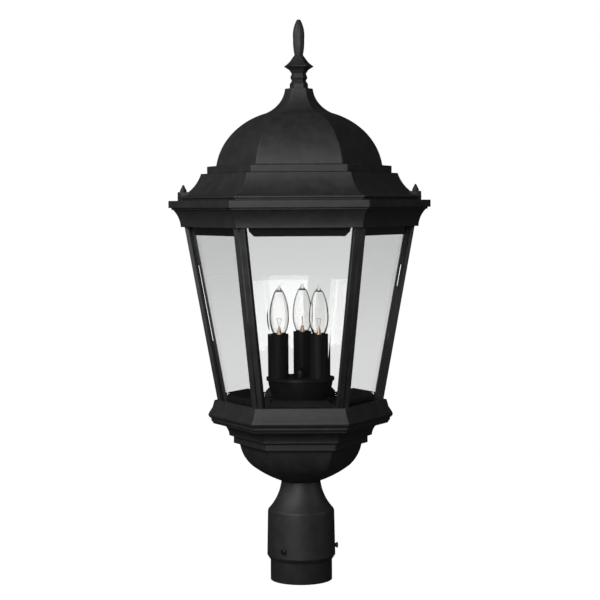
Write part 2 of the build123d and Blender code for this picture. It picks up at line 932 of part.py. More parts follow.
def write_body():
    """Collar, bowl, ring, bars, glass and cornice."""
    write("post_fitter", post_fitter())
    write("lower_bowl", lower_bowl())
    write("gallery_ring", gallery_ring())
    write("cornice_ring", cornice_ring())
    for number, bar in enumerate(round_z(corner_bar(), SIDES), start=1):
        write(f"corner_bar_{number}", bar)
    for number, pane in enumerate(round_z(glass_pane(), SIDES, FRONT_TURN), start=1):
        write(f"glass_pane_{number}", pane)
    write("lower_glass_stops", *glass_strips(floor_z, 1, lower_stop_rise))
    write("upper_glass_stops", *glass_strips(bar_top, -1, upper_stop_rise))
    write("lower_stop_screws", *stop_screws(floor_z, 1))
    write("upper_stop_screws", *stop_screws(bar_top, -1))
    write("bar_foot_screws", *bar_foot_screws())
    write("bar_head_screws", *bar_head_screws())
    for number, screw in enumerate(round_z(set_screw(), set_screw_count, set_screw_first), start=1):
        write(f"set_screw_{number}", screw)


def write_cluster():
    """Pipe, cluster, candles and bulbs."""
    washer_z = web_z - pipe_washer_rise
    write("centre_pipe", centre_pipe())
    write("pipe_washer", washer(pipe_washer_r, pipe_hole_r, washer_z, pipe_washer_rise))
    write("pipe_locknut", nut(pipe_nut_r, pipe_hole_r, washer_z - pipe_nut_rise, pipe_nut_rise))
    write("cap_nut", cap_nut())
    write("cluster_base", cluster_base())
    write("cluster_cup", cluster_cup())
    write("cluster_cover", cluster_cover())
    sleeve, socket, stem, stem_nut = candle()
    spots = candle_spots()
    for number, spot in enumerate(spots, start=1):
        write(f"candle_sleeve_{number}", spot * sleeve)
        write(f"socket_{number}", spot * socket)
        write(f"bulb_{number}_base", spot * bulb_base())
        write(f"bulb_{number}_glass", spot * bulb_glass())
        write(f"bulb_{number}_filament", spot * bulb_filament())
    write("socket_stems", *[spot * stem for spot in spots])
    write("socket_nuts", *[spot * stem_nut for spot in spots])


def write_roof():
    """Roof, knobs and finial."""
    brim, dome = roof_brim_and_dome()
    stud_hole_r = stud_r + turn_gap
    write("roof_brim", brim)
    write("roof_dome", dome)
    write("finial", finial())
    write("finial_washer", washer(finial_washer_r, stud_hole_r, finial_washer_z, finial_washer_rise))
    write("finial_nut", nut(finial_nut_r, stud_hole_r, finial_nut_z, finial_nut_rise))
    write("knob_right", Pos(knob_x, 0, 0) * knob())
    write("knob_left", Pos(-knob_x, 0, 0) * knob())


os.makedirs("parts", exist_ok=True)
write_body()
write_cluster()
write_roof()
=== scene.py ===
"""Looks of the six-sided post-top lantern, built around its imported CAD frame."""
import json
import logging
import math
from dataclasses import dataclass, field
from enum import Enum
from typing import Any, Optional, Sequence, Union

import bmesh
import bpy
from mathutils import Matrix, Vector


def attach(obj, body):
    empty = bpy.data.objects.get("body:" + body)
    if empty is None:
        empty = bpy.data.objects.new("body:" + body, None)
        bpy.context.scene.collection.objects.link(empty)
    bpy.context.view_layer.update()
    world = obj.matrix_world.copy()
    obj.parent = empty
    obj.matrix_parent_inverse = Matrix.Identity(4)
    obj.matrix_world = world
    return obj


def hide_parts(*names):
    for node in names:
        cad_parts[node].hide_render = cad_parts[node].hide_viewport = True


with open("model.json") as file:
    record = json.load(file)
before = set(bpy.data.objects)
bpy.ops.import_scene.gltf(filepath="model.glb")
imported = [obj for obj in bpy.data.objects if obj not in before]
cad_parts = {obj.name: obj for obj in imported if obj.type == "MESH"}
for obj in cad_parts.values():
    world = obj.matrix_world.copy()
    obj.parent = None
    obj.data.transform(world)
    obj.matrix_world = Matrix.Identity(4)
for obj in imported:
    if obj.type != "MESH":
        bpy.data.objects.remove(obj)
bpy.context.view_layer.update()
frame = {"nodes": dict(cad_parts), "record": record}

LOG = logging.getLogger("lantern")
MM = 0.001

Colour = tuple[float, float, float]
Point = tuple[float, float]
Ring = list[Vector]


# Shader maths

class Graph:
    """The nodes of one material or world."""

    def __init__(self, owner: Union[bpy.types.Material, bpy.types.World]) -> None:
        """Empty the owner's node tree, ready for new nodes.

        Args:
            owner: material or world whose nodes are used.
        """
        owner.use_nodes = True
        self.tree = owner.node_tree
        self.tree.nodes.clear()

    def node(self, kind: str, settings: Optional[dict[str, Any]] = None,
             inputs: Optional[dict[Union[str, int], Any]] = None) -> bpy.types.Node:
        """Add a node.

        Args:
            kind: type of the node, such as ShaderNodeTexNoise.
            settings: properties that are set first.
            inputs: values or signals of its sockets, by name or number.

        Returns:
            The new node.
        """
        made = self.tree.nodes.new(kind)
        for name, value in (settings or {}).items():
            setattr(made, name, value)
        for key, value in (inputs or {}).items():
            if isinstance(value, Signal):
                self.tree.links.new(value.socket, made.inputs[key])
            else:
                made.inputs[key].default_value = value
        return made

    def signal(self, kind: str, output: Union[str, int], settings: Optional[dict[str, Any]] = None,
               inputs: Optional[dict[Union[str, int], Any]] = None) -> "Signal":
        """Add a node and take one of its outputs.

        Args:
            kind: type of the node.
            output: name or number of the output.
            settings: properties that are set first.
            inputs: values or signals of its sockets.

        Returns:
            The output as a signal.
        """
        return Signal(self, self.node(kind, settings, inputs).outputs[output])

    def place(self) -> "Signal":
        """Where a point lies on its own piece, in metres."""
        return self.signal("ShaderNodeTexCoord", "Object")

    def stretched(self, scale: tuple[float, float, float]) -> "Signal":
        """The place, stretched by a scale along each axis."""
        return self.signal("ShaderNodeMapping", "Vector", {"vector_type": "POINT"},
                           {"Vector": self.place(), "Scale": scale})

    def noise(self, scale: float, detail: float = 3.0, roughness: float = 0.5,
              where: Optional["Signal"] = None) -> "Signal":
        """Soft noise from 0 to 1.

        Args:
            scale: how many features lie in a metre.
            detail: number of finer layers.
            roughness: weight of the finer layers.
            where: place that the noise follows.

        Returns:
            The noise as a signal.
        """
        return self.signal("ShaderNodeTexNoise", 0, {"noise_dimensions": "3D"},
                           {"Vector": where or self.place(), "Scale": scale, "Detail": detail,
                            "Roughness": roughness})

    def height(self) -> "Signal":
        """Height of a point above the collar's mouth, in metres."""
        return self.signal("ShaderNodeSeparateXYZ", "Z", None, {0: self.place()})

    def upward(self) -> "Signal":
        """How far a surface faces up, from -1 to 1."""
        normal = self.signal("ShaderNodeNewGeometry", "Normal")
        return self.signal("ShaderNodeSeparateXYZ", "Z", None, {0: normal})

    def ramp(self, value: "Signal", low: float, high: float, start: float = 0.0,
             end: float = 1.0) -> "Signal":
        """Carry a value from one span to another, smoothly and without passing its ends.

        Args:
            value: the signal that is carried over.
            low: value that gives start.
            high: value that gives end.
            start: result at low.
            end: result at high.

        Returns:
            The result as a signal.
        """
        return self.signal("ShaderNodeMapRange", "Result", {"interpolation_type": "SMOOTHSTEP"},
                           {"Value": value, "From Min": low, "From Max": high,
                            "To Min": start, "To Max": end})

    def blend(self, mask: "Signal", first: Union[Colour, "Signal"],
              second: Union[Colour, "Signal"]) -> "Signal":
        """Mix two colours by a mask."""
        ends = [end if isinstance(end, Signal) else (*end, 1.0) for end in (first, second)]
        return self.signal("ShaderNodeMix", 2, {"data_type": "RGBA"}, {0: mask, 6: ends[0], 7: ends[1]})

    def bump(self, height: "Signal", depth: float, strength: float = 1.0,
             under: Optional["Signal"] = None) -> "Signal":
        """Turn a height into a normal.

        Args:
            height: height from 0 to 1.
            depth: metres that a height of 1 stands for.
            strength: weight of the bump.
            under: normal that the bump lies on.

        Returns:
            The normal as a signal.
        """
        inputs: dict[Union[str, int], Any] = {"Height": height, "Distance": depth, "Strength": strength}
        if under is not None:
            inputs["Normal"] = under
        return self.signal("ShaderNodeBump", "Normal", None, inputs)

    def surface(self, inputs: dict[Union[str, int], Any]) -> None:
        """End the material in a Principled surface with these socket values.

        Args:
            inputs: values or signals of the shader's sockets.
        """
        shader = self.node("ShaderNodeBsdfPrincipled", None, inputs)
        output = self.node("ShaderNodeOutputMaterial")
        self.tree.links.new(shader.outputs[0], output.inputs["Surface"])


@dataclass(frozen=True)
class Signal:
    """One output socket that can be used in Python expressions."""

    graph: Graph
    socket: bpy.types.NodeSocket

    def _math(self, operation: str, first: Any, second: Any) -> "Signal":
        """Add a Math node on two values."""
        return self.graph.signal("ShaderNodeMath", 0, {"operation": operation}, {0: first, 1: second})

    def __add__(self, other: Any) -> "Signal":
        """Sum of two values."""
        return self._math("ADD", self, other)

    def __radd__(self, other: Any) -> "Signal":
        """Sum of a number and this value."""
        return self._math("ADD", other, self)

    def __sub__(self, other: Any) -> "Signal":
        """Difference of two values."""
        return self._math("SUBTRACT", self, other)

    def __rsub__(self, other: Any) -> "Signal":
        """A number less this value."""
        return self._math("SUBTRACT", other, self)

    def __mul__(self, other: Any) -> "Signal":
        """Product of two values."""
        return self._math("MULTIPLY", self, other)

    def __rmul__(self, other: Any) -> "Signal":
        """Product of a number and this value."""
        return self._math("MULTIPLY", other, self)


# Finishes

@dataclass(frozen=True)
class Finish:
    """A finish that pieces and CAD nodes are dressed in."""

    slot: str

    def paint(self, graph: Graph) -> None:
        """Build the finish's nodes."""
        raise NotImplementedError

    def material(self) -> bpy.types.Material:
        """Make the finish's material.

        Returns:
            The material.
        """
        made = bpy.data.materials.new(f"{self.slot}_finish")
        self.paint(Graph(made))
        return made


@dataclass(frozen=True)
class PaintedCasting(Finish):
    """Black powder coat on a casting: fine orange peel, slow waves of the metal, and a little dust."""

    body: Colour = (0.016, 0.016, 0.0165)
    worn: Colour = (0.023, 0.023, 0.0235)
    dust: Colour = (0.04, 0.039, 0.037)
    roughness: float = 0.52
    roughness_spread: float = 0.10
    gloss_level: float = 0.34
    peel_scale: float = 620.0
    peel_depth: float = 0.00006
    wave_scale: float = 38.0
    wave_depth: float = 0.0006
    mottle_scale: float = 70.0
    dust_scale: float = 140.0
    dust_share: float = 0.35

    def paint(self, graph: Graph) -> None:
        """Mottle the tone and the gloss, and lift the normal by peel over waves.

        Args:
            graph: nodes of the material that is built.
        """
        mottle = graph.noise(self.mottle_scale, 4.0, 0.6)
        peel = graph.noise(self.peel_scale, 2.0)
        tone = graph.ramp(mottle, 0.35, 0.7)
        level = graph.ramp(graph.upward(), 0.75, 1.0)
        settled = level * graph.ramp(graph.noise(self.dust_scale, 5.0, 0.65), 0.42, 0.75)
        painted = graph.blend(tone, self.body, self.worn)
        dusty = graph.blend(settled * self.dust_share, painted, self.dust)
        gloss = self.roughness + (mottle - 0.5) * self.roughness_spread + settled * 0.12
        waves = graph.bump(graph.noise(self.wave_scale, 2.0), self.wave_depth)
        graph.surface({
            "Base Color": dusty, "Roughness": gloss, "IOR": 1.5, "Specular IOR Level": self.gloss_level,
            "Normal": graph.bump(peel, self.peel_depth, 1.0, waves),
        })


@dataclass(frozen=True)
class DarkSheet(Finish):
    """Black paint on pressed sheet, flatter than the castings."""

    body: Colour = (0.006, 0.006, 0.0062)
    rubbed: Colour = (0.010, 0.010, 0.0105)
    roughness: float = 0.46
    gloss_level: float = 0.20
    rub_scale: float = 60.0
    tooth_scale: float = 1100.0
    tooth_depth: float = 0.00004

    def paint(self, graph: Graph) -> None:
        """Fine tooth and long faint rub marks.

        Args:
            graph: nodes of the material that is built.
        """
        rubs = graph.noise(self.rub_scale, 6.0, 0.7, graph.stretched((1.0, 1.0, 6.0)))
        tooth = graph.noise(self.tooth_scale, 2.0)
        graph.surface({
            "Base Color": graph.blend(graph.ramp(rubs, 0.4, 0.75), self.body, self.rubbed),
            "Roughness": self.roughness + (rubs - 0.5) * 0.16,
            "Specular IOR Level": self.gloss_level,
            "Normal": graph.bump(tooth, self.tooth_depth),
        })


@dataclass(frozen=True)
class BlackScrew(Finish):
    """Blackened steel of the screws, rubbed bright in spots."""

    body: Colour = (0.018, 0.018, 0.019)
    rubbed: Colour = (0.11, 0.105, 0.10)
    metal: float = 0.7
    spot_scale: float = 420.0
    grain_scale: float = 1500.0
    grain_depth: float = 0.00002

    def paint(self, graph: Graph) -> None:
        """Small rubbed spots on dark metal.

        Args:
            graph: nodes of the material that is built.
        """
        spots = graph.ramp(graph.noise(self.spot_scale, 5.0, 0.7), 0.58, 0.78)
        graph.surface({
            "Base Color": graph.blend(spots, self.body, self.rubbed),
            "Metallic": self.metal,
            "Roughness": 0.46 - spots * 0.14,
            "Normal": graph.bump(graph.noise(self.grain_scale, 2.0), self.grain_depth),
        })


@dataclass(frozen=True)
class ZincSteel(Finish):
    """Zinc plate with its faint crystals."""

    light: Colour = (0.62, 0.62, 0.60)
    dark: Colour = (0.40, 0.41, 0.41)
    crystal_scale: float = 420.0
    crystal_depth: float = 0.00003
    cloud_scale: float = 160.0

    def paint(self, graph: Graph) -> None:
        """Crystals that differ in tone and gloss.

        Args:
            graph: nodes of the material that is built.
        """
        crystals = graph.signal("ShaderNodeTexVoronoi", "Distance", {"feature": "F1"},
                                {"Vector": graph.place(), "Scale": self.crystal_scale})
        cloud = graph.noise(self.cloud_scale, 4.0)
        mix = graph.ramp(crystals * 0.7 + cloud * 0.5, 0.25, 0.8)
        graph.surface({
            "Base Color": graph.blend(mix, self.light, self.dark),
            "Metallic": 1.0,
            "Roughness": 0.30 + mix * 0.22,
            "Normal": graph.bump(crystals, self.crystal_depth),
        })


@dataclass(frozen=True)
class CandleTube(Finish):
    """Matte black candle tube with faint draw lines down its length."""

    body: Colour = (0.004, 0.004, 0.0042)
    streak: Colour = (0.008, 0.008, 0.0084)
    gloss_level: float = 0.12
    line_scale: float = 900.0
    line_depth: float = 0.00003

    def paint(self, graph: Graph) -> None:
        """Upright draw lines in tone and height.

        Args:
            graph: nodes of the material that is built.
        """
        lines = graph.noise(self.line_scale, 3.0, 0.6, graph.stretched((1.0, 1.0, 0.02)))
        graph.surface({
            "Base Color": graph.blend(graph.ramp(lines, 0.35, 0.7), self.body, self.streak),
            "Roughness": 0.5 + (lines - 0.5) * 0.14,
            "Specular IOR Level": self.gloss_level,
            "Normal": graph.bump(lines, self.line_depth),
        })


@dataclass(frozen=True)
class Phenolic(Finish):
    """Moulded brown-black resin of the lamp holders."""

    body: Colour = (0.012, 0.010, 0.009)
    fleck: Colour = (0.030, 0.024, 0.019)
    fleck_scale: float = 800.0
    skin_scale: float = 500.0
    skin_depth: float = 0.00003

    def paint(self, graph: Graph) -> None:
        """Fine flecks of the filler.

        Args:
            graph: nodes of the material that is built.
        """
        flecks = graph.ramp(graph.noise(self.fleck_scale, 5.0, 0.7), 0.55, 0.8)
        graph.surface({
            "Base Color": graph.blend(flecks, self.body, self.fleck),
            "Roughness": 0.34 + flecks * 0.2,
            "Normal": graph.bump(graph.noise(self.skin_scale, 3.0), self.skin_depth),
        })


@dataclass(frozen=True)
class PaneGlass(Finish):
    """Clear float glass with faint wiping marks, its tint greyed towards the top as painted shade."""

    foot_tint: Colour = (0.925, 0.93, 0.928)
    painted_shade_head_tint: Colour = (0.81, 0.815, 0.815)
    foot_z: float = 0.235
    head_z: float = 0.414
    ior: float = 1.34
    wipe_scale: float = 26.0
    wave_scale: float = 16.0
    wave_depth: float = 0.00012

    def paint(self, graph: Graph) -> None:
        """Grade the tint by height, painting shade that greys it towards the top, and roughen it where it was
        wiped.

        Args:
            graph: nodes of the material that is built.
        """
        # painted shade: the glass tint greys from foot_z up to head_z
        painted_shade_rise = graph.ramp(graph.height(), self.foot_z, self.head_z)
        streaks = graph.noise(self.wipe_scale, 4.0, 0.6, graph.stretched((1.0, 1.0, 2.4)))
        wiped = graph.ramp(streaks, 0.5, 0.85)
        graph.surface({
            "Base Color": graph.blend(painted_shade_rise, self.foot_tint, self.painted_shade_head_tint),
            "Roughness": wiped * 0.02,
            "IOR": self.ior,
            "Transmission Weight": 1.0,
            "Normal": graph.bump(graph.noise(self.wave_scale, 1.0), self.wave_depth),
        })


@dataclass(frozen=True)
class BulbGlass(Finish):
    """Thin blown glass."""

    tint: Colour = (0.985, 0.985, 0.98)
    shade: Colour = (0.95, 0.95, 0.94)
    ior: float = 1.2
    swirl_scale: float = 60.0
    swirl_depth: float = 0.0002

    def paint(self, graph: Graph) -> None:
        """Slow waves of blown glass.

        Args:
            graph: nodes of the material that is built.
        """
        swirl = graph.noise(self.swirl_scale, 2.0)
        graph.surface({
            "Base Color": graph.blend(swirl, self.tint, self.shade),
            "Roughness": 0.0,
            "IOR": self.ior,
            "Transmission Weight": 1.0,
            "Normal": graph.bump(swirl, self.swirl_depth),
        })


@dataclass(frozen=True)
class LampBrass(Finish):
    """Brass screw base, dulled by handling."""

    bright: Colour = (0.72, 0.56, 0.28)
    dull: Colour = (0.34, 0.24, 0.12)
    tarnish_scale: float = 260.0
    thread_scale: float = 75.0
    thread_depth: float = 0.0003

    def paint(self, graph: Graph) -> None:
        """Cloudy tarnish and the turns of the rolled thread.

        Args:
            graph: nodes of the material that is built.
        """
        tarnish = graph.ramp(graph.noise(self.tarnish_scale, 5.0, 0.65), 0.4, 0.75)
        turns = graph.signal("ShaderNodeTexWave", 1, {"wave_type": "BANDS", "bands_direction": "Z"},
                             {"Vector": graph.place(), "Scale": self.thread_scale, "Distortion": 0.0})
        graph.surface({
            "Base Color": graph.blend(tarnish, self.bright, self.dull),
            "Metallic": 1.0,
            "Roughness": 0.26 + tarnish * 0.25,
            "Normal": graph.bump(turns, self.thread_depth),
        })


@dataclass(frozen=True)
class FilamentWire(Finish):
    """Warm grey leads and mount inside a bulb."""

    body: Colour = (0.36, 0.22, 0.12)
    pale: Colour = (0.62, 0.55, 0.45)
    tint_scale: float = 320.0

    def paint(self, graph: Graph) -> None:
        """Heat tints along the wire.

        Args:
            graph: nodes of the material that is built.
        """
        tint = graph.ramp(graph.noise(self.tint_scale, 3.0), 0.35, 0.7)
        graph.surface({
            "Base Color": graph.blend(tint, self.body, self.pale),
            "Metallic": 0.6,
            "Roughness": 0.32 + tint * 0.15,
        })


@dataclass(frozen=True)
class StudioFloor(Finish):
    """Plain floor that glows, so that it is as pale as the surroundings."""

    tone: Colour = (0.06, 0.06, 0.06)
    shade: Colour = (0.055, 0.055, 0.055)
    glow: float = 1.0
    tooth_scale: float = 6.0

    def paint(self, graph: Graph) -> None:
        """Faint tooth of seamless paper.

        Args:
            graph: nodes of the material that is built.
        """
        tooth = graph.noise(self.tooth_scale, 4.0)
        graph.surface({
            "Base Color": graph.blend(tooth, self.tone, self.shade),
            "Roughness": 0.9,
            "Specular IOR Level": 0.0,
            "Emission Color": (1.0, 1.0, 1.0, 1.0),
            "Emission Strength": self.glow,
        })


class Finishes:
    """Every finish of the lantern, made once and looked up by its slot."""

    def __init__(self) -> None:
        """Make the materials."""
        kinds = [
            PaintedCasting("cast_black"), DarkSheet("dark_sheet"), BlackScrew("black_screw"),
            ZincSteel("zinc_steel"), CandleTube("candle_black"), Phenolic("phenolic"),
            PaneGlass("pane_glass"), BulbGlass("bulb_glass"), LampBrass("bulb_brass"),
            FilamentWire("filament_wire"), StudioFloor("studio_floor"),
        ]
        self.by_slot = {kind.slot: kind.material() for kind in kinds}
        self.slot_of = {part["node"]: part["material_slot"] for part in frame["record"]["subparts"]}

    def __getitem__(self, slot: str) -> bpy.types.Material:
        """Material of a slot."""
        return self.by_slot[slot]

    def dress_node(self, node: str) -> None:
        """Give a CAD node that is kept the finish of its slot.

        Args:
            node: name of the CAD node.
        """
        piece = frame["nodes"][node]
        piece.data.materials.clear()
        piece.data.materials.append(self.by_slot[self.slot_of[node]])


# Shapes

class Plan(Enum):
    """Outline of a piece seen from above; the value is its number of sides."""

    ROUND = 0
    SIX = 6
    TWELVE = 12


RING_POINTS = 36
# Largest share of a neighbouring edge that an eased corner takes
EASE_SHARE = 0.45


def heading(degrees: float) -> Vector:
    """Level direction at an angle about +Z."""
    angle = math.radians(degrees)
    return Vector((math.cos(angle), math.sin(angle), 0.0))


def plan_ring(reach: float, level: float, plan: Plan, corner: float,
              middle: Point = (0.0, 0.0)) -> Ring:
    """Points of one level ring.

    Args:
        reach: distance from the middle to a flat, or the radius of a round ring.
        level: height of the ring.
        plan: its outline from above.
        corner: radius that its corners are rounded by.
        middle: where its axis stands.

    Returns:
        The ring's points, the same number for every plan.
    """
    centre = Vector((*middle, level))
    if plan is Plan.ROUND:
        turns = [360.0 * (step + 0.5) / RING_POINTS - 30.0 for step in range(RING_POINTS)]
        return [centre + reach * heading(turn) for turn in turns]
    share = RING_POINTS // plan.value
    half = 180.0 / plan.value
    rounding = min(corner, EASE_SHARE * reach)
    ring: Ring = []
    for side in range(plan.value):
        turn = half - 30.0 + 2 * half * side
        hub = (reach - rounding) / math.cos(math.radians(half)) * heading(turn)
        for step in range(share):
            swing = half * (2 * step / (share - 1) - 1)
            ring.append(centre + hub + rounding * heading(turn + swing))
    return ring


def eased_corner(before: Point, here: Point, after: Point, radius: float, count: int) -> list[Point]:
    """Ease one corner of a path.

    Args:
        before: the point before the corner.
        here: the corner.
        after: the point after the corner.
        radius: radius that the corner is eased by.
        count: number of points of the curve.

    Returns:
        The curve's points in the order of the path.
    """
    corner = Vector(here)
    back = Vector(before) - corner
    ahead = Vector(after) - corner
    turn = math.pi - back.angle(ahead)
    reach = min(radius * math.tan(turn / 2), EASE_SHARE * back.length, EASE_SHARE * ahead.length)
    start = corner + back.normalized() * reach
    end = corner + ahead.normalized() * reach
    curve: list[Point] = []
    for step in range(count):
        part = step / (count - 1)
        spot = start * (1 - part) ** 2 + corner * 2 * part * (1 - part) + end * part ** 2
        curve.append((spot.x, spot.y))
    return curve


def loft(rings: Sequence[Ring], joined: bool = False) -> bmesh.types.BMesh:
    """Skin over rings of equal length.

    Args:
        rings: the rings in order.
        joined: whether the last ring joins the first; otherwise both ends are closed.

    Returns:
        The closed skin.
    """
    bm = bmesh.new()
    rows = [[bm.verts.new(point) for point in ring] for ring in rings]
    count = len(rings[0])
    pairs = list(zip(rows, rows[1:] + rows[:1])) if joined else list(zip(rows, rows[1:]))
    for lower, upper in pairs:
        for here in range(count):
            after = (here + 1) % count
            bm.faces.new((lower[here], lower[after], upper[after], upper[here]))
    if not joined:
        bm.faces.new(rows[0])
        bm.faces.new(rows[-1])
    bmesh.ops.remove_doubles(bm, verts=bm.verts[:], dist=2e-6)
    bmesh.ops.dissolve_degenerate(bm, edges=bm.edges[:], dist=1e-7)
    bmesh.ops.recalc_face_normals(bm, faces=bm.faces[:])
    return bm


@dataclass(frozen=True)
class Section:
    """Half outline of a CAD node on a plane through an upright axis, with its edges eased."""

    node: str
    turn: float = -87.0
    from_flat: float = 3.0
    middle: Point = (0.0, 0.0)
    edge: float = 0.7 * MM
    sharp: float = 20.0
    straight: float = 0.35
    curve_points: int = 4

    def _chain(self) -> tuple[list[Point], bool]:
        """Cut the node's mesh and follow the cut.

        Returns:
            The points of the cut, and whether they close on themselves.
        """
        along = heading(self.turn)
        across = Vector((-along.y, along.x, 0.0))
        squared = math.cos(math.radians(self.from_flat))
        bm = bmesh.new()
        bm.from_mesh(frame["nodes"][self.node].data)
        bmesh.ops.translate(bm, verts=bm.verts[:], vec=(-self.middle[0], -self.middle[1], 0.0))
        bmesh.ops.remove_doubles(bm, verts=bm.verts[:], dist=1e-6)
        for plane, clear in ((along, True), (across, False)):
            cut = bmesh.ops.bisect_plane(bm, geom=bm.verts[:] + bm.edges[:] + bm.faces[:],
                                         plane_co=(0.0, 0.0, 0.0), plane_no=plane, dist=1e-7,
                                         clear_inner=clear)
        links: dict[int, list[int]] = {}
        spots: dict[int, Point] = {}
        for edge in cut["geom_cut"]:
            if isinstance(edge, bmesh.types.BMEdge):
                first, second = edge.verts
                for end in (first, second):
                    spots[end.index] = (end.co.dot(along) * squared, end.co.z)
                links.setdefault(first.index, []).append(second.index)
                links.setdefault(second.index, []).append(first.index)
        bm.free()
        chains = []
        left = set(links)
        while left:
            loose = [spot for spot in left if len(links[spot]) == 1]
            here = loose[0] if loose else next(iter(sorted(left)))
            chain = [here]
            left.discard(here)
            while True:
                ahead = [spot for spot in links[chain[-1]] if spot in left]
                if not ahead:
                    break
                chain.append(ahead[0])
                left.discard(ahead[0])
            chains.append((chain, not loose))
        chain, closed = max(chains, key=lambda found: len(found[0]))
        return [spots[spot] for spot in chain], closed

    def outline(self) -> tuple[list[Point], bool]:
        """The cut with straight runs thinned out and its sharp corners eased.

        Returns:
            The points as distance from the axis and height, and whether they close.
        """
        points, closed = self._chain()
        points = self._thinned(points, closed)
        eased: list[Point] = []
        last = len(points) - 1
        for number, here in enumerate(points):
            if not closed and number in (0, last):
                eased.append(here)
                continue
            before, after = points[number - 1], points[(number + 1) % len(points)]
            if math.degrees(self._turn(before, here, after)) < self.sharp:
                eased.append(here)
            else:
                eased += eased_corner(before, here, after, self.edge, self.curve_points)
        return eased, closed

    @staticmethod
    def _turn(before: Point, here: Point, after: Point) -> float:
        """Angle in radians by which a path turns at a point.

        Args:
            before: point before the turn.
            here: point where the path turns.
            after: point after the turn.

        Returns:
            The angle.
        """
        first = Vector(here) - Vector(before)
        second = Vector(after) - Vector(here)
        if first.length < 1e-9 or second.length < 1e-9:
            return 0.0
        return first.angle(second)

    def _thinned(self, points: list[Point], closed: bool) -> list[Point]:
        """Drop the points that lie on a straight run.

        Args:
            points: points of the path.
            closed: whether the path closes on itself.

        Returns:
            The points that are left.
        """
        kept: list[Point] = []
        last = len(points) - 1
        for number, here in enumerate(points):
            if not closed and number in (0, last):
                kept.append(here)
                continue
            before = kept[-1] if kept else points[number - 1]
            if self._turn(before, here, points[(number + 1) % len(points)]) > math.radians(self.straight):
                kept.append(here)
        return kept


class Bench:
    """Turns finished skins into pieces that ride the frame."""

    piece_weight: int = 90
    stage_weight: int = 50

    def __init__(self, finishes: Finishes) -> None:
        """Keep the finishes at hand."""
        self.finishes = finishes

    def piece(self, name: str, skin: bmesh.types.BMesh, slot: str, body: str,
              stands_for: Sequence[str] = (), holes: Sequence[bmesh.types.BMesh] = ()) -> bpy.types.Object:
        """Make a piece of the lantern.

        Args:
            name: name of the piece.
            skin: its closed skin, which is used up.
            slot: material slot that it takes its finish from.
            body: body that it rides on.
            stands_for: CAD nodes that it replaces.
            holes: skins of what is cut out of it, which are used up.

        Returns:
            The piece.
        """
        made = self._object(name, skin)
        if holes:
            self._cut(made, holes)
        made.data.materials.append(self.finishes[slot])
        self._smooth(made, self.piece_weight)
        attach(made, body)
        if stands_for:
            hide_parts(*stands_for)
        LOG.info("piece %s on %s, %d faces", name, body, len(made.data.polygons))
        return made

    @staticmethod
    def _object(name: str, skin: bmesh.types.BMesh) -> bpy.types.Object:
        """Put a skin into a new object of the scene.

        Args:
            name: name of the object.
            skin: its skin, which is used up.

        Returns:
            The object.
        """
        mesh = bpy.data.meshes.new(name)
        skin.to_mesh(mesh)
        skin.free()
        made = bpy.data.objects.new(name, mesh)
        bpy.context.scene.collection.objects.link(made)
        return made

    @staticmethod
    def _smooth(made: bpy.types.Object, weight: int) -> None:
        """Shade an object smoothly; a higher weight lets its larger faces lead more.

        Args:
            made: the object.
            weight: how much its larger faces lead.
        """
        for face in made.data.polygons:
            face.use_smooth = True
        even = made.modifiers.new("even_shading", "WEIGHTED_NORMAL")
        even.weight = weight
        even.keep_sharp = True

    def _cut(self, made: bpy.types.Object, holes: Sequence[bmesh.types.BMesh]) -> None:
        """Cut holes out of a new object's mesh.

        Args:
            made: the object.
            holes: skins of the holes, which are used up.
        """
        for number, hole in enumerate(holes):
            cutter = self._object(f"{made.name}_cutter_{number}", hole)
            cut = made.modifiers.new("hole", "BOOLEAN")
            cut.operation = "DIFFERENCE"
            cut.solver = "EXACT"
            cut.object = cutter
            graph = bpy.context.evaluated_depsgraph_get()
            shaped = bpy.data.meshes.new_from_object(made.evaluated_get(graph), depsgraph=graph)
            made.modifiers.clear()
            old, made.data = made.data, shaped
            bpy.data.meshes.remove(old)
            shaped.name = made.name
            bpy.data.objects.remove(cutter)

    @staticmethod
    def clear(glass: bpy.types.Object) -> None:
        """Let soft light, gloss and shadows pass a clear piece as if it weren't there.

        Args:
            glass: the clear piece.
        """
        glass.visible_shadow = False
        glass.visible_diffuse = False
        glass.visible_glossy = False

    def stage(self, name: str, skin: bmesh.types.BMesh, slot: str) -> bpy.types.Object:
        """Make something that is set round the lantern and isn't part of it.

        Args:
            name: name of the piece.
            skin: its skin, which is used up.
            slot: material slot that it takes its finish from.

        Returns:
            The piece.
        """
        made = self._object(name, skin)
        made.data.materials.append(self.finishes[slot])
        self._smooth(made, self.stage_weight)
        return made


# Sub-assemblies

@dataclass
class Casting:
    """A casting whose profile follows its CAD node, with eased edges and corners."""

    node: str
    body: str
    slot: str = "cast_black"
    edge: float = 0.7
    corner: float = 1.8
    round_within: float = 6.0
    round_below: float = -1.0
    twelve_above: float = 10000.0
    holes: list[bmesh.types.BMesh] = field(default_factory=list)

    def plan_at(self, reach: float, level: float) -> Plan:
        """Outline from above of the profile's point at a reach and a height, in metres.

        Args:
            reach: distance from the axis.
            level: height of the point.

        Returns:
            The outline.
        """
        if reach < self.round_within * MM or level < self.round_below * MM:
            return Plan.ROUND
        return Plan.TWELVE if level > self.twelve_above * MM else Plan.SIX

    def build(self, bench: Bench) -> bpy.types.Object:
        """Sweep the eased profile round the casting's plan.

        Args:
            bench: bench that makes the pieces.

        Returns:
            The piece.
        """
        outline, closed = Section(self.node, edge=self.edge * MM).outline()
        rings = [
            plan_ring(reach, level, self.plan_at(reach, level), self.corner * MM)
            for reach, level in outline
        ]
        return bench.piece(f"{self.node}_shaped", loft(rings, closed), self.slot, self.body,
                           [self.node], self.holes)


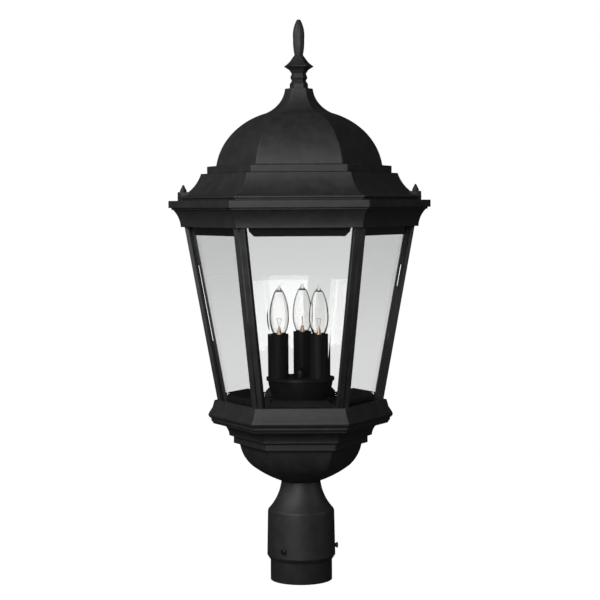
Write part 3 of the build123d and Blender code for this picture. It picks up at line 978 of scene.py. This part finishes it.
@dataclass
class Turning:
    """A turned piece whose profile follows its CAD node."""

    node: str
    body: str
    slot: str
    middle: Point = (0.0, 0.0)
    turn: float = 90.0
    edge: float = 0.4
    holes: list[bmesh.types.BMesh] = field(default_factory=list)

    def build(self, bench: Bench) -> bpy.types.Object:
        """Sweep the eased profile round the piece's own axis.

        Args:
            bench: bench that makes the pieces.

        Returns:
            The piece.
        """
        cut = Section(self.node, self.turn, 0.0, self.middle, self.edge * MM)
        outline, closed = cut.outline()
        rings = [plan_ring(reach, level, Plan.ROUND, 0.0, self.middle) for reach, level in outline]
        return bench.piece(f"{self.node}_shaped", loft(rings, closed), self.slot, self.body,
                           [self.node], self.holes)


def rod(radius: float, start: Vector, end: Vector) -> bmesh.types.BMesh:
    """Round rod between two points, for cutting holes.

    Args:
        radius: radius of the rod.
        start: middle of its first end.
        end: middle of its other end.

    Returns:
        The rod's skin.
    """
    way = (end - start).normalized()
    side = way.orthogonal().normalized()
    other = way.cross(side)
    turns = [2 * math.pi * step / 32 for step in range(32)]
    return loft([[spot + radius * (math.cos(turn) * side + math.sin(turn) * other) for turn in turns]
                 for spot in (start, end)])


@dataclass
class PostFitter:
    """Collar with its neck, and the holes of its three set screws."""

    screw_z: float = 15.0
    screw_hole_r: float = 2.6
    screw_turns: tuple[float, ...] = (240.0, 0.0, 120.0)
    reach: float = 46.0
    start: float = 30.0

    def build(self, bench: Bench) -> None:
        """Turn the collar and drill it.

        Args:
            bench: bench that makes the pieces.
        """
        holes = []
        for turn in self.screw_turns:
            way = heading(turn)
            level = Vector((0.0, 0.0, self.screw_z * MM))
            holes.append(rod(self.screw_hole_r * MM, level + way * self.start * MM,
                             level + way * self.reach * MM))
        Turning("post_fitter", "lantern", "cast_black", turn=180.0, edge=0.8, holes=holes).build(bench)


@dataclass
class Body:
    """Bowl, gallery ring and cornice of the lantern."""

    knob_x: float = 141.8806
    knob_hole_r: float = 2.6
    boss_r: float = 5.0
    boss_ease: float = 0.6
    boss_foot: float = 426.0
    flange_foot: float = 437.8
    cornice_top: float = 440.8
    hole_foot: float = 428.7

    def build(self, bench: Bench) -> None:
        """Sweep the three castings and add the cornice's two bosses.

        Args:
            bench: bench that makes the pieces.
        """
        Casting("lower_bowl", "lantern").build(bench)
        Casting("gallery_ring", "lantern").build(bench)
        holes = [self._hole(side) for side in (-1, 1)]
        Casting("cornice_ring", "lantern", holes=holes).build(bench)
        for side, name in ((-1, "left"), (1, "right")):
            bench.piece(f"cornice_boss_{name}", self._boss(side), "cast_black", "lantern")

    def _hole(self, side: int) -> bmesh.types.BMesh:
        """Hole for a knob's screw through the cornice's flange.

        Args:
            side: 1 for the right, -1 for the left.

        Returns:
            The rod that is cut out.
        """
        x = side * self.knob_x * MM
        return rod(self.knob_hole_r * MM, Vector((x, 0.0, self.hole_foot * MM)),
                   Vector((x, 0.0, (self.cornice_top + 1.0) * MM)))

    def _boss(self, side: int) -> bmesh.types.BMesh:
        """Boss under the flange that the knob's screw turns in.

        Args:
            side: 1 for the right, -1 for the left.

        Returns:
            The boss's skin.
        """
        middle = (side * self.knob_x * MM, 0.0)
        steps = [
            (0.0, self.boss_foot), (self.boss_r - self.boss_ease, self.boss_foot),
            (self.boss_r, self.boss_foot + self.boss_ease),
            (self.boss_r, self.flange_foot), (self.knob_hole_r, self.flange_foot),
            (self.knob_hole_r, self.hole_foot), (0.0, self.hole_foot),
        ]
        return loft([plan_ring(reach * MM, level * MM, Plan.ROUND, 0.0, middle) for reach, level in steps])


@dataclass
class CornerBar:
    """One of the six leaning bars: flat-faced with a shallow groove up to the frieze, ribbed inside."""

    number: int
    foot_r: float = 101.7
    lean: float = 0.18148
    foot_z: float = 196.0
    face_top: float = 408.65
    head_z: float = 414.0
    leg: float = 9.0
    sheet: float = 3.0
    rib_half: float = 3.0
    rib_depth: float = 14.0
    bend_r: float = 2.0
    face_edge_r: float = 1.2
    groove_half: float = 0.9
    groove_depth: float = 0.4
    groove_r: float = 0.4
    edge_r: float = 0.7
    heel_depth: float = 7.0
    heel_z: float = 190.5
    heel_ease: float = 0.6
    curve_points: int = 5

    def grooved_face(self) -> list[tuple[float, float, float]]:
        """Corners of the flat outer face with its groove, each with the radius it is rounded by.

        Returns:
            The corners as x, y and radius.
        """
        half = self.leg * math.cos(math.radians(30))
        return [
            (self.foot_r, -half, self.face_edge_r),
            (self.foot_r, -self.groove_half, self.groove_r),
            (self.foot_r - self.groove_depth, 0.0, self.groove_r),
            (self.foot_r, self.groove_half, self.groove_r),
            (self.foot_r, half, self.face_edge_r),
        ]

    def pointed_face(self) -> list[tuple[float, float, float]]:
        """The one corner of the outer face inside the frieze, with the radius it is rounded by."""
        return [(self.foot_r, 0.0, self.bend_r)]

    def back(self) -> list[tuple[float, float, float]]:
        """Corners of the legs and the rib behind the outer face.

        Returns:
            The corners as x, y and radius.
        """
        cos30 = math.cos(math.radians(30))
        leg_x = self.foot_r - self.leg / 2
        leg_y = self.leg * cos30
        inner_x = self.foot_r - (self.sheet + self.rib_half / 2) / cos30
        side = [
            (leg_x, leg_y, self.edge_r),
            (leg_x - self.sheet * cos30, leg_y - self.sheet / 2, self.edge_r),
            (inner_x, self.rib_half, self.edge_r),
            (self.foot_r - self.rib_depth, self.rib_half, self.edge_r),
        ]
        return side + [(x, -y, r) for x, y, r in reversed(side)]

    def build(self, bench: Bench) -> None:
        """Draw the bar out along its lean, with its head in the frieze and its heel on the floor.

        Args:
            bench: bench that makes the pieces.
        """
        spin = Matrix.Rotation(math.radians(60 * (self.number - 1)), 4, "Z")
        name = f"corner_bar_{self.number}"
        shaft = self._drawn(self.grooved_face(), self.foot_z, self.face_top, spin)
        head = self._drawn(self.pointed_face(), self.face_top, self.head_z, spin)
        bench.piece(f"{name}_shaped", shaft, "cast_black", "lantern", [name])
        bench.piece(f"{name}_head", head, "cast_black", "lantern")
        bench.piece(f"{name}_heel", self._heel(spin), "cast_black", "lantern")

    def _drawn(self, face: list[tuple[float, float, float]], low: float, high: float,
               spin: Matrix) -> bmesh.types.BMesh:
        """Skin of a section drawn out along the lean.

        Args:
            face: corners of the outer face.
            low: height it starts at.
            high: height it ends at.
            spin: turn of the bar about the lantern's axis.

        Returns:
            The closed skin.
        """
        corners = face + self.back()
        ring: list[Point] = []
        for number, (x, y, radius) in enumerate(corners):
            before, after = corners[number - 1], corners[(number + 1) % len(corners)]
            ring += eased_corner(before[:2], (x, y), after[:2], radius, self.curve_points)
        rings = []
        for level in (low, high):
            lean = self.lean * (level - self.foot_z)
            rings.append([spin @ Vector(((x + lean) * MM, y * MM, level * MM)) for x, y in ring])
        return loft(rings)

    def _heel(self, spin: Matrix) -> bmesh.types.BMesh:
        """Foot of the rib that stands on the ring's floor.

        Args:
            spin: turn of the bar about the lantern's axis.

        Returns:
            The heel's skin.
        """
        near = self.foot_r - self.rib_depth
        far = near + self.heel_depth
        ease = self.heel_ease
        flat = [(near + ease, -self.rib_half), (far - ease, -self.rib_half), (far, ease - self.rib_half),
                (far, self.rib_half - ease), (far - ease, self.rib_half), (near + ease, self.rib_half),
                (near, self.rib_half - ease), (near, ease - self.rib_half)]
        return loft([[spin @ Vector((x * MM, y * MM, level * MM)) for x, y in flat]
                     for level in (self.heel_z, self.foot_z)])


@dataclass
class GlassHouse:
    """Bars, panes, and the strips and screws that hold them."""

    sides: int = 6

    def build(self, bench: Bench) -> None:
        """Build the bars and dress the glass and its strips.

        Args:
            bench: bench that makes the pieces.
        """
        for number in range(1, self.sides + 1):
            CornerBar(number).build(bench)
            pane = f"glass_pane_{number}"
            bench.finishes.dress_node(pane)
            bench.clear(frame["nodes"][pane])
        for node in ("lower_glass_stops", "upper_glass_stops", "lower_stop_screws", "upper_stop_screws",
                     "bar_foot_screws", "bar_head_screws"):
            bench.finishes.dress_node(node)
            LOG.info("node %s dressed", node)


@dataclass
class Roof:
    """Brim, dome, lugs, knobs and finial."""

    knob_x: float = 141.8806
    lug_r: float = 7.0
    lug_reach: float = 22.0
    lug_foot: float = 440.8
    lug_top: float = 451.5
    lug_edge: float = 1.0
    hole_r: float = 2.6
    finial_foot: float = 576.4
    spear_foot: float = 617.1
    foot_slack: float = 0.3
    spear_slack: float = 0.2

    def build(self, bench: Bench) -> None:
        """Build the roof's castings and its fixings.

        Args:
            bench: bench that makes the pieces.
        """
        holes = []
        for side in (-1, 1):
            x = side * self.knob_x * MM
            holes.append(rod(self.hole_r * MM, Vector((x, 0.0, (self.lug_foot - 2.0) * MM)),
                             Vector((x, 0.0, (self.lug_top + 2.0) * MM))))
        Casting("roof_brim", "roof", holes=holes).build(bench)
        Casting("roof_dome", "roof").build(bench)
        Casting("finial", "finial", edge=0.5, corner=0.7, round_within=0.0,
                round_below=self.finial_foot - self.foot_slack,
                twelve_above=self.spear_foot - self.spear_slack).build(bench)
        for side, name in ((-1, "left"), (1, "right")):
            bench.piece(f"roof_lug_{name}", self._lug(side), "cast_black", "roof")
            Turning(f"knob_{name}", f"knob_{name}", "cast_black", (side * self.knob_x * MM, 0.0)).build(bench)
        for node in ("finial_washer", "finial_nut"):
            bench.finishes.dress_node(node)

    def _lug(self, side: int) -> bmesh.types.BMesh:
        """Flat ear that the knob stands on, with an eased top edge and its hole.

        Args:
            side: 1 for the right, -1 for the left.

        Returns:
            The ear's skin.
        """
        count = 24

        def ring(radius: float, level: float) -> Ring:
            """One level ring of the ear: a half round and a straight tail.

            Args:
                radius: radius of the half round, in millimetres.
                level: height, in millimetres.

            Returns:
                The ring's points.
            """
            spots = []
            for step in range(count):
                turn = math.radians(-90 + 180 * step / (count - 1))
                spots.append((self.knob_x + radius * math.cos(turn), radius * math.sin(turn)))
            tail = self.knob_x - self.lug_reach
            spots += [(tail, radius), (tail, radius / 3), (tail, -radius / 3), (tail, -radius)]
            return [Vector((side * x * MM, side * y * MM, level * MM)) for x, y in spots]

        def hole(level: float) -> Ring:
            """One level ring of the ear's hole.

            Args:
                level: height, in millimetres.

            Returns:
                The ring's points.
            """
            spots = []
            for step in range(count):
                turn = math.radians(-100 + 200 * step / (count - 1))
                spots.append((self.knob_x + self.hole_r * math.cos(turn), self.hole_r * math.sin(turn)))
            for degrees in (125, 160, 200, 235):
                turn = math.radians(degrees)
                spots.append((self.knob_x + self.hole_r * math.cos(turn), self.hole_r * math.sin(turn)))
            return [Vector((side * x * MM, side * y * MM, level * MM)) for x, y in spots]

        ease = self.lug_edge
        rings = [ring(self.lug_r, self.lug_foot), ring(self.lug_r, self.lug_top - ease)]
        rings += [ring(self.lug_r - ease * (1 - math.cos(math.radians(turn))),
                       self.lug_top - ease * (1 - math.sin(math.radians(turn)))) for turn in (30, 60, 90)]
        rings += [hole(self.lug_top), hole(self.lug_foot)]
        return loft(rings, True)


@dataclass
class Cluster:
    """Pipe, cup and the three candles with their bulbs."""

    candles: int = 3

    def build(self, bench: Bench) -> None:
        """Dress the cluster's nodes and give the bulbs their glass.

        Args:
            bench: bench that makes the pieces.
        """
        kept = ["cluster_base", "cluster_cup", "cluster_cover", "cap_nut", "centre_pipe", "pipe_washer",
                "pipe_locknut", "socket_stems", "socket_nuts"]
        for number in range(1, self.candles + 1):
            kept += [f"candle_sleeve_{number}", f"socket_{number}", f"set_screw_{number}",
                     f"bulb_{number}_base", f"bulb_{number}_glass", f"bulb_{number}_filament"]
            bench.clear(frame["nodes"][f"bulb_{number}_glass"])
        for node in kept:
            bench.finishes.dress_node(node)
            LOG.info("node %s dressed", node)


@dataclass(frozen=True)
class Softbox:
    """A softbox, in metres and watts."""

    name: str
    place: tuple[float, float, float]
    size: Point
    watts: float


@dataclass
class Studio:
    """Floor, post stub, lights and camera."""

    floor_z: float = -26.5
    floor_r: float = 9.0
    post_r: float = 38.1
    post_top: float = 50.0
    camera_at: tuple[float, float, float] = (0.0, -2.0205, 0.4362)
    pitch: float = 86.67
    roll: float = -0.3
    lens: float = 99.0
    sensor: float = 36.0
    lit_spot: tuple[float, float, float] = (0.0, 0.0, 0.45)
    dim_world: float = 0.03
    edge_ease: float = 0.6
    softboxes: tuple[Softbox, ...] = (
        Softbox("key_high", (-1.4, -1.3, 1.9), (1.2, 1.2), 22.0),
        Softbox("fill_near", (-0.4, -1.3, 0.85), (0.9, 0.5), 11.5),
        Softbox("fill_low", (-0.8, -2.0, 0.3), (1.2, 0.8), 11.0),
        Softbox("side_left", (-2.3, -0.5, 1.3), (1.2, 1.2), 10.0),
        Softbox("side_right", (2.3, -0.8, 0.9), (1.2, 1.2), 7.5),
    )

    def build(self, bench: Bench) -> None:
        """Set the stage.

        Args:
            bench: bench that makes the pieces.
        """
        floor = loft([plan_ring(reach, self.floor_z * MM - drop, Plan.ROUND, 0.0)
                      for reach, drop in ((1.0, 0.0), (self.floor_r, 0.0), (self.floor_r, 0.02))])
        paper = bench.stage("floor", floor, "studio_floor")
        paper.visible_glossy = False
        paper.visible_diffuse = False
        ease = self.edge_ease
        steps = [(0.0, self.floor_z), (self.post_r, self.floor_z), (self.post_r, self.post_top - ease),
                 (self.post_r - ease, self.post_top), (0.0, self.post_top)]
        post = loft([plan_ring(reach * MM, level * MM, Plan.ROUND, 0.0) for reach, level in steps])
        bench.stage("post_stub", post, "cast_black")
        self._camera()
        self._world()
        for box in self.softboxes:
            self._hang(box)
        scene = bpy.context.scene
        scene.view_settings.view_transform = "Standard"
        scene.view_settings.look = "None"

    def _camera(self) -> None:
        """Camera at the photograph's angle."""
        data = bpy.data.cameras.new("camera")
        data.lens = self.lens
        data.sensor_width = self.sensor
        data.sensor_fit = "HORIZONTAL"
        data.clip_start = 0.01
        camera = bpy.data.objects.new("camera", data)
        bpy.context.scene.collection.objects.link(camera)
        turned = Matrix.Rotation(math.radians(self.pitch), 4, "X") @ Matrix.Rotation(
            math.radians(self.roll), 4, "Z")
        camera.matrix_world = Matrix.Translation(Vector(self.camera_at)) @ turned
        bpy.context.scene.camera = camera

    def _hang(self, box: Softbox) -> None:
        """Hang a softbox that faces the lit spot.

        Args:
            box: the softbox.
        """
        data = bpy.data.lights.new(box.name, "AREA")
        data.shape = "RECTANGLE"
        data.size, data.size_y = box.size
        data.energy = box.watts
        light = bpy.data.objects.new(box.name, data)
        bpy.context.scene.collection.objects.link(light)
        way = Vector(self.lit_spot) - Vector(box.place)
        facing = way.to_track_quat("-Z", "Y").to_matrix().to_4x4()
        light.matrix_world = Matrix.Translation(Vector(box.place)) @ facing

    def _world(self) -> None:
        """White surroundings for the eye and the glass, dim ones for gloss and soft light."""
        world = bpy.data.worlds.new("studio")
        bpy.context.scene.world = world
        graph = Graph(world)
        path = graph.node("ShaderNodeLightPath")
        seen = Signal(graph, path.outputs["Is Camera Ray"])
        through = Signal(graph, path.outputs["Is Transmission Ray"])
        strength = self.dim_world + (seen + through) * (1.0 - self.dim_world)
        background = graph.node("ShaderNodeBackground", None,
                                {"Color": (1.0, 1.0, 1.0, 1.0), "Strength": strength})
        output = graph.node("ShaderNodeOutputWorld")
        graph.tree.links.new(background.outputs[0], output.inputs["Surface"])


def main() -> None:
    """Build every sub-assembly."""
    logging.basicConfig(level=logging.INFO, format="%(name)s: %(message)s")
    bench = Bench(Finishes())
    PostFitter().build(bench)
    Body().build(bench)
    GlassHouse().build(bench)
    Cluster().build(bench)
    Roof().build(bench)
    Studio().build(bench)


if __name__ == "__main__":
    main()
